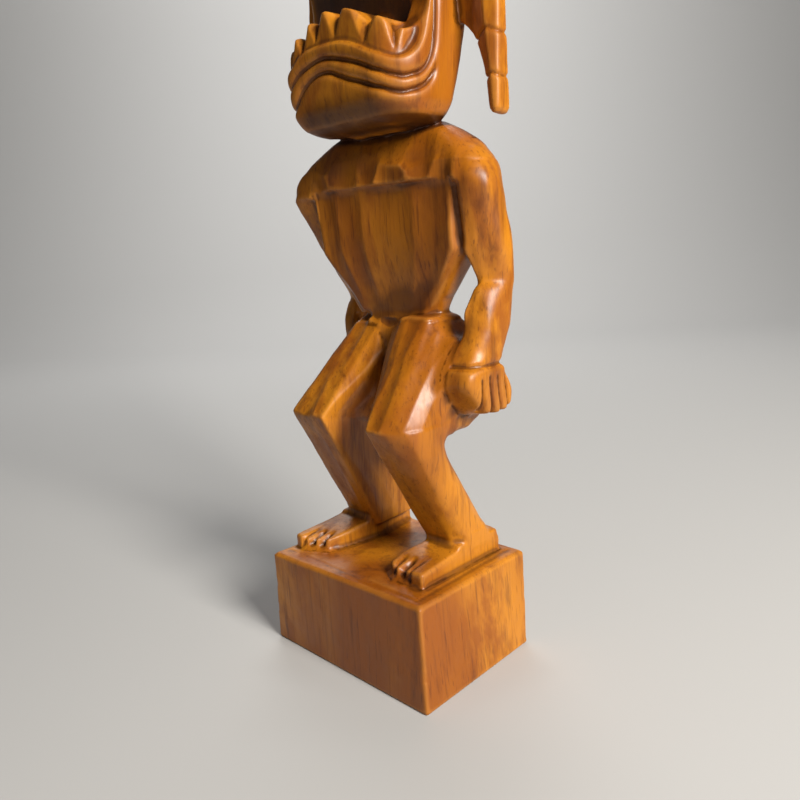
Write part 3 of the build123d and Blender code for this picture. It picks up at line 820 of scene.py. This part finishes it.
def toe_cuts(x, y, z, inner, pitch, toe_front, lean):
    """Three short rounded toes, which slope down to the front beside a square bar that stands proud."""
    reach = y - toe_front                        # 0 at the toe tips, growing towards the heel
    shifted = x - lean * reach
    toe = (shifted - inner) / pitch
    bar_edge = inner + 3 * pitch + 0.05 * np.maximum(reach, 0)
    beside_bar = 1 - smooth_step(shifted, bar_edge - 1.2, bar_edge)
    between_toes = stripes(toe) ** 2.2 * (toe > -0.3) * (toe < 2.9)
    parted = 1.5 * between_toes * (1 - smooth_step(reach, 7, 12))
    slope = 1.3 * (1 - smooth_step(reach, 1, 20)) + 0.7 * (1 - smooth_step(reach, -1, 3))
    return (parted + slope) * beside_bar * smooth_step(z, 50.5, 53)


def left_toe_cuts(x, y, z):
    return toe_cuts(x, y, z, 15.5, 6.0, -25, 0.0)


def right_toe_cuts(x, y, z):
    return toe_cuts(-x, y, z, 25.5, 5.2, -28, -0.12)


def base_ledge(x, y, z):
    """The feet stand on a low step, which leaves a ledge round the base's top."""
    off_step = np.maximum(np.maximum(x - 43.0, -46.5 - x), np.maximum(y - 36.5, -31.5 - y))
    return 0.5 * np.clip(off_step / 0.8, 0, 1) * smooth_step(z, 48, 49)


BASE_HALF_WIDTH = 52.5
BASE_HALF_DEPTH = 38.5
KNOCK_RADIUS = 2.0


def base_cuts(x, y, z):
    return 0.15 * gouge_marks(x, y, z, (34, 34, 26), 51)


def base_knocks(x, y, z):
    """Small knocks down the base's upright edges."""
    to_edge = (((np.abs(x) - BASE_HALF_WIDTH) / KNOCK_RADIUS) ** 2
               + ((np.abs(y) - BASE_HALF_DEPTH) / KNOCK_RADIUS) ** 2)
    chip = hashed(np.floor(z / 5).astype(np.int64), (x > 0).astype(np.int64), (y > 0).astype(np.int64), 5)
    return 0.5 * np.exp(-to_edge) * smooth_step(chip, 0.6, 1) * smooth_step(z, 8, 14)


# hand-worked unevenness everywhere
carve += 0.18 * lattice_noise(PX, PY, PZ, 15.0, 11) + 0.10 * lattice_noise(PX, PY, PZ, 5.0, 12)

SIDEWAYS = np.abs(PX)
carve_where((PZ > 226) & (PZ < 256) & (PY < 30) & ((PZ > LEDGE_Z) | (SIDEWAYS > 43)), dome_cuts)
carve_where((PZ > 66) & (PZ < 168) & (SIDEWAYS < 43), limb_cuts)
carve_where((PZ > 168) & (PZ < LEDGE_Z) & (SIDEWAYS < 43), torso_cuts)
carve_where((PZ > 150) & (PZ < 236) & (SIDEWAYS > 43.5), arm_cuts)
carve_where((PZ > 156) & (PZ < 229.6) & (PY < 9) & (SIDEWAYS < 41), chest_cuts)
carve_where((PZ > 196) & (PZ < 230.5) & (PY < 16) & (np.abs(PX - ARM_INNER) < 3.5), armpit_groove)
carve_where((PZ > 122) & (PZ < 149) & (PX > 46), left_finger_cuts)
carve_where((PZ > 122) & (PZ < 149) & (PX < -46), right_finger_cuts)
carve_where((np.abs(PZ - 148.5) < 3) & (SIDEWAYS > 43), wrist_cuts)
carve_where((PZ > 50.3) & (PZ < 64) & (PX > 10) & (PY < 10), left_toe_cuts)
carve_where((PZ > 50.3) & (PZ < 64) & (PX < -18) & (PY < 10), right_toe_cuts)
carve_where((PZ > 46) & (PZ < 51.5), base_ledge)
carve_where(PZ < 49, base_cuts)
carve_where(PZ < 52, base_knocks)

carve *= smooth_step(PZ, 0.5, 4)           # the underside and its edges stay flat
whole[IX, IY, IZ] += carve
whole = whole + 0.5 * (blurred(whole, 0.5) - whole) * (1 - below_feet)

# ---------------------------------------------------------------- surface tint fields, with painted shade
edge_field = blurred(whole, 1.5) - whole   # above 0 on raised edges, below 0 in creases
# darker in hollows: partly stain that collects in the grooves, partly painted shade where the hollows lie
# in shade
stain_and_shade_field = blurred(np.clip(0.5 - whole, 0, 1), 5.5)
# painted shade inside the open mouth
stain_and_shade_field[:, :, head_slab] += 0.5 * mouth_painted_shade
# painted shade on the chin, under the jaw
under_chin_painted_shade = (1 - smooth_step(Z, 258, 278)) * smooth_step(Z, 250, 254) * (1 - smooth_step(X, 30, 38))
stain_and_shade_field += 0.42 * under_chin_painted_shade


def sampled(field, points):
    """Trilinear value of a grid field at points in millimetres."""
    p = points / VOXEL - FIRST
    i = np.clip(np.floor(p).astype(int), 0, np.array(SHAPE) - 2)
    f = p - i
    total = 0
    for a in (0, 1):
        for b in (0, 1):
            for c in (0, 1):
                weight = ((f[:, 0] if a else 1 - f[:, 0]) * (f[:, 1] if b else 1 - f[:, 1])
                          * (f[:, 2] if c else 1 - f[:, 2]))
                total = total + weight * field[i[:, 0] + a, i[:, 1] + b, i[:, 2] + c]
    return total.astype(np.float32)


# ---------------------------------------------------------------- wood material
class NodeBuilder:
    """Short ways to add nodes to a new material."""

    def __init__(self, name):
        self.material = bpy.data.materials.new(name)
        self.material.use_nodes = True
        self.nodes = self.material.node_tree.nodes
        self.links = self.material.node_tree.links
        self.nodes.clear()

    def node(self, kind, **values):
        made = self.nodes.new(kind)
        for key, value in values.items():
            setattr(made, key, value)
        return made

    def feed(self, socket, value):
        """Sets a socket to a number or a colour, or links an output to it."""
        if isinstance(value, (int, float)):
            socket.default_value = value
        elif isinstance(value, tuple):
            socket.default_value = (*value, 1)
        else:
            self.links.new(value, socket)

    def arithmetic(self, operation, a, b):
        made = self.node("ShaderNodeMath", operation=operation)
        self.feed(made.inputs[0], a)
        self.feed(made.inputs[1], b)
        return made.outputs[0]

    def mix(self, share, a, b):
        """Colour a with a share of colour b."""
        made = self.node("ShaderNodeMix", data_type="RGBA")
        self.feed(made.inputs["Factor"], share)
        self.feed(made.inputs[6], a)
        self.feed(made.inputs[7], b)
        return made.outputs[2]

    def noise(self, vector, scale, detail, roughness, distortion=0.0):
        made = self.node("ShaderNodeTexNoise")
        made.inputs["Scale"].default_value = scale
        made.inputs["Detail"].default_value = detail
        made.inputs["Roughness"].default_value = roughness
        made.inputs["Distortion"].default_value = distortion
        self.links.new(vector, made.inputs["Vector"])
        return made.outputs["Fac"]

    def span(self, value, low_value, high_value, to_low=0.0, to_high=1.0):
        """Maps a range of the value to another, with smooth ends."""
        made = self.node("ShaderNodeMapRange", interpolation_type="SMOOTHSTEP")
        self.links.new(value, made.inputs["Value"])
        made.inputs["From Min"].default_value = low_value
        made.inputs["From Max"].default_value = high_value
        made.inputs["To Min"].default_value = to_low
        made.inputs["To Max"].default_value = to_high
        return made.outputs["Result"]

    def share(self, value, low_value, high_value, strength):
        return self.arithmetic("MULTIPLY", self.span(value, low_value, high_value), strength)

    def stretched(self, coords, upright):
        """Object coordinates squeezed along Z, so that a noise runs with the grain."""
        made = self.node("ShaderNodeMapping")
        made.inputs["Scale"].default_value = (1, 1, upright)
        self.links.new(coords, made.inputs["Vector"])
        return made.outputs["Vector"]

    def attribute(self, name):
        return self.node("ShaderNodeAttribute", attribute_name=name).outputs["Fac"]


HONEY = (0.50, 0.182, 0.009)
DEEP = (0.25, 0.066, 0.003)
DARK = (0.075, 0.015, 0.002)
# darkest tone, for hollows: stain in the grooves and painted shade, also the painted shade in the mouth and
# under the chin
RECESS_STAIN_AND_SHADE = (0.020, 0.005, 0.001)
# creases darkened: stain in them and painted shade
CREASE_STAIN_AND_SHADE = (0.045, 0.010, 0.002)
RUBBED_EDGE = (0.62, 0.26, 0.04)
DOWEL_COLOURS = ((0.62, 0.42, 0.22), (0.50, 0.31, 0.15), (0.30, 0.17, 0.08))


def wood_material(name, honey, deep, dark):
    """Oiled hardwood: upright grain in three tones, recesses and creases darkened by stain and painted
    shade, and rubbed edges.
    """
    tree = NodeBuilder(name)
    coords = tree.node("ShaderNodeTexCoord").outputs["Object"]
    edge = tree.attribute("edge")
    recess = tree.attribute("recess")
    streak = tree.noise(tree.stretched(coords, 0.10), 120, 5, 0.65, 0.5)
    fine = tree.noise(tree.stretched(coords, 0.035), 420, 3, 0.6)
    mottle = tree.noise(tree.stretched(coords, 0.40), 60, 5, 0.65, 0.3)
    broad = tree.noise(tree.stretched(coords, 0.3), 13, 3, 0.5)
    pores = tree.noise(tree.stretched(coords, 0.05), 900, 2, 0.5)

    colour = tree.mix(tree.span(broad, 0.36, 0.64), honey, deep)
    colour = tree.mix(tree.share(mottle, 0.42, 0.66, 0.90), colour, deep)
    colour = tree.mix(tree.share(streak, 0.50, 0.72, 0.60), colour, dark)
    colour = tree.mix(tree.share(fine, 0.55, 0.75, 0.35), colour, dark)
    colour = tree.mix(tree.share(pores, 0.60, 0.70, 0.45), colour, dark)
    # hollows darkened: partly stain, partly painted shade, with the painted shade in the mouth and under
    # the chin
    colour = tree.mix(tree.share(recess, 0.64, 0.90, 0.85), colour, RECESS_STAIN_AND_SHADE)
    colour = tree.mix(tree.share(edge, 0.16, 0.50, 0.22), colour, RUBBED_EDGE)
    # creases darkened, partly stain and partly painted shade
    crease = tree.arithmetic("MULTIPLY", edge, -1.0)
    colour = tree.mix(tree.share(crease, 0.05, 0.30, 0.60), colour, CREASE_STAIN_AND_SHADE)

    rough = tree.span(mottle, 0.3, 0.7, 0.30, 0.44)
    rough = tree.arithmetic("ADD", rough, tree.span(fine, 0.4, 0.7, 0.0, 0.08))
    rough = tree.arithmetic("ADD", rough, tree.span(edge, 0.1, 0.4, 0.0, 0.10))

    height = tree.arithmetic(
        "ADD", tree.arithmetic("MULTIPLY", fine, 0.35), tree.arithmetic("MULTIPLY", pores, 0.30))
    height = tree.arithmetic("ADD", height, tree.arithmetic("MULTIPLY", mottle, 0.5))
    grain = tree.node("ShaderNodeBump")
    grain.inputs["Strength"].default_value = 0.22
    grain.inputs["Distance"].default_value = 0.0006          # metres
    tree.feed(grain.inputs["Height"], height)

    shader = tree.node("ShaderNodeBsdfPrincipled")
    tree.feed(shader.inputs["Base Color"], colour)
    tree.feed(shader.inputs["Roughness"], rough)
    tree.feed(shader.inputs["Normal"], grain.outputs["Normal"])
    shader.inputs["Coat Weight"].default_value = 0.18
    shader.inputs["Coat Roughness"].default_value = 0.33
    shader.inputs["Specular IOR Level"].default_value = 0.3
    output = tree.node("ShaderNodeOutputMaterial")
    tree.feed(output.inputs["Surface"], shader.outputs[0])
    return tree.material


wood = wood_material("carved_hardwood", HONEY, DEEP, DARK)
dowel_wood = wood_material("dowel_wood", *DOWEL_COLOURS)

# ---------------------------------------------------------------- cut into pieces
JOINT_LAP = 0.10                # the pieces meet this little past the joint plane
SKIN_LAP = 0.75                 # and a little further at the skin, where the joint is sanded flush
SKIN_DEPTH = (0.6, 1.6)         # the lap narrows between these depths
SOCKET_FIT = 0.12
SHARP_ANGLE = math.radians(55)

nearest = np.full(SHAPE, 1e3, np.float32)
second = np.full(SHAPE, 1e3, np.float32)
for field in node_fields.values():
    second = np.minimum(second, np.maximum(nearest, field))
    nearest = np.minimum(nearest, field)
sockets = SOCKET_FIT - dowels
lap = JOINT_LAP + (SKIN_LAP - JOINT_LAP) * (1 - smooth_step(-whole, *SKIN_DEPTH))


def piece_field(node):
    """The carved figure on this node's side of its joints, with its dowel sockets."""
    own = node_fields[node]
    others = np.where(own <= nearest, second, nearest)
    region = (own - others) / 2 - lap
    return banded(np.maximum(np.maximum(whole, region), sockets))


def piece_mesh(name, points, quads):
    """A mesh in metres with the tint fields as point attributes."""
    mesh = bpy.data.meshes.new(name)
    mesh.vertices.add(len(points))
    mesh.vertices.foreach_set("co", (points * MM).astype(np.float32).ravel())
    mesh.loops.add(len(quads) * 4)
    mesh.loops.foreach_set("vertex_index", quads[:, ::-1].astype(np.int32).ravel())
    mesh.polygons.add(len(quads))
    mesh.polygons.foreach_set("loop_start", np.arange(len(quads), dtype=np.int32) * 4)
    mesh.update(calc_edges=True)
    mesh.validate()
    for attribute_name, values in (("edge", edge_field), ("recess", stain_and_shade_field)):
        attribute = mesh.attributes.new(attribute_name, "FLOAT", "POINT")
        attribute.data.foreach_set("value", sampled(values, points))
    mesh.polygons.foreach_set("use_smooth", np.ones(len(quads), bool))
    mesh.set_sharp_from_angle(angle=SHARP_ANGLE)
    mesh.materials.append(wood)
    return mesh


for node in WOOD_NODES:
    points, quads = largest_shell(*surface(piece_field(node)))
    name = node + "_carved"
    piece = bpy.data.objects.new(name, piece_mesh(name, points, quads))
    bpy.context.scene.collection.objects.link(piece)
    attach(piece, "root")
    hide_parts(node)
    print(node, len(points), len(quads))

for node in DOWEL_NODES:
    dowel_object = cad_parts[node]
    dowel_object.data.materials.clear()
    dowel_object.data.materials.append(dowel_wood)

# ---------------------------------------------------------------- floor
# Lengths in metres from here on. One sheet: a floor that sweeps up into a backdrop behind the
# figure, as the camera sees it.
CAMERA_TURN = math.radians(44.52)
SWEEP_START = 1.1
SWEEP_RADIUS = 0.9
SWEEP_STEPS = 24
SHEET_HALF_WIDTH = 5.0
SHEET_FRONT = -2.5
SHEET_TOP = 4.0
SHEET_COLOUR = (0.46, 0.455, 0.445)
away = Vector((-math.sin(CAMERA_TURN), math.cos(CAMERA_TURN), 0))


def sheet_profile():
    """(distance from the figure, height) along the sheet."""
    profile = [(SHEET_FRONT, 0.0), (SWEEP_START, 0.0)]
    for step in range(1, SWEEP_STEPS + 1):
        angle = math.pi / 2 * step / SWEEP_STEPS
        profile.append((SWEEP_START + SWEEP_RADIUS * math.sin(angle), SWEEP_RADIUS * (1 - math.cos(angle))))
    profile.append((SWEEP_START + SWEEP_RADIUS, SHEET_TOP))
    return profile


def add_sheet():
    sideways = Vector((away.y, -away.x, 0))
    profile = sheet_profile()
    points = []
    for distance, rise in profile:
        for side in (-1, 1):
            place = away * distance + sideways * side * SHEET_HALF_WIDTH
            points.append((place.x, place.y, rise))
    faces = [(2 * i, 2 * i + 1, 2 * i + 3, 2 * i + 2) for i in range(len(profile) - 1)]
    mesh = bpy.data.meshes.new("floor")
    mesh.from_pydata(points, [], faces)
    mesh.polygons.foreach_set("use_smooth", [True] * len(faces))
    paint = bpy.data.materials.new("floor_paint")
    paint.use_nodes = True
    shader = paint.node_tree.nodes["Principled BSDF"]
    shader.inputs["Base Color"].default_value = (*SHEET_COLOUR, 1)
    shader.inputs["Roughness"].default_value = 0.7
    mesh.materials.append(paint)
    floor = bpy.data.objects.new("floor", mesh)
    bpy.context.scene.collection.objects.link(floor)


add_sheet()


# ---------------------------------------------------------------- light
def area_light(name, position, target, size, power, colour):
    data = bpy.data.lights.new(name, "AREA")
    data.size = size
    data.energy = power
    data.color = colour
    light = bpy.data.objects.new(name, data)
    light.location = position
    light.rotation_euler = (Vector(target) - Vector(position)).to_track_quat("-Z", "Y").to_euler()
    bpy.context.scene.collection.objects.link(light)


world = bpy.data.worlds.new("studio")
world.use_nodes = True
world.node_tree.nodes["Background"].inputs["Color"].default_value = (0.90, 0.94, 1.0, 1)
world.node_tree.nodes["Background"].inputs["Strength"].default_value = 0.045
bpy.context.scene.world = world
bpy.context.scene.view_settings.view_transform = "Standard"

FIGURE_MIDDLE = (0, 0, 0.2)
area_light("key", (1.08, -0.14, 0.80), FIGURE_MIDDLE, 0.46, 32, (1.0, 0.96, 0.90))
area_light("fill", (-0.3, -1.2, 0.6), FIGURE_MIDDLE, 0.9, 0.5, (0.95, 0.97, 1.0))
area_light("back", (-0.9, 0.7, 0.9), FIGURE_MIDDLE, 0.6, 2, (1, 1, 1))
area_light("backdrop", (*(away * 0.9).xy, 1.5), (*(away * 2.0).xy, 0.5), 0.9, 22, (1, 1, 1))

# ---------------------------------------------------------------- camera
CAMERA_TILT = math.radians(12.44)
CAMERA_ROLL = math.radians(-3.03)
CAMERA_PLACE = (0.244815, -0.240238, 0.204312)
LENS = 32.35
forward = Vector((away.x * math.cos(CAMERA_TILT), away.y * math.cos(CAMERA_TILT), -math.sin(CAMERA_TILT)))
right = Vector((math.cos(CAMERA_TURN), math.sin(CAMERA_TURN), 0))
up = right.cross(forward)
camera_x = math.cos(CAMERA_ROLL) * right + math.sin(CAMERA_ROLL) * up
camera_y = -math.sin(CAMERA_ROLL) * right + math.cos(CAMERA_ROLL) * up
camera_data = bpy.data.cameras.new("camera")
camera_data.sensor_width = 36
camera_data.lens = LENS
camera_data.clip_start = 0.01
camera = bpy.data.objects.new("camera", camera_data)
camera.matrix_world = Matrix.Translation(CAMERA_PLACE) @ Matrix(
    (camera_x, camera_y, -forward)).transposed().to_4x4()
bpy.context.scene.collection.objects.link(camera)
bpy.context.scene.camera = camera
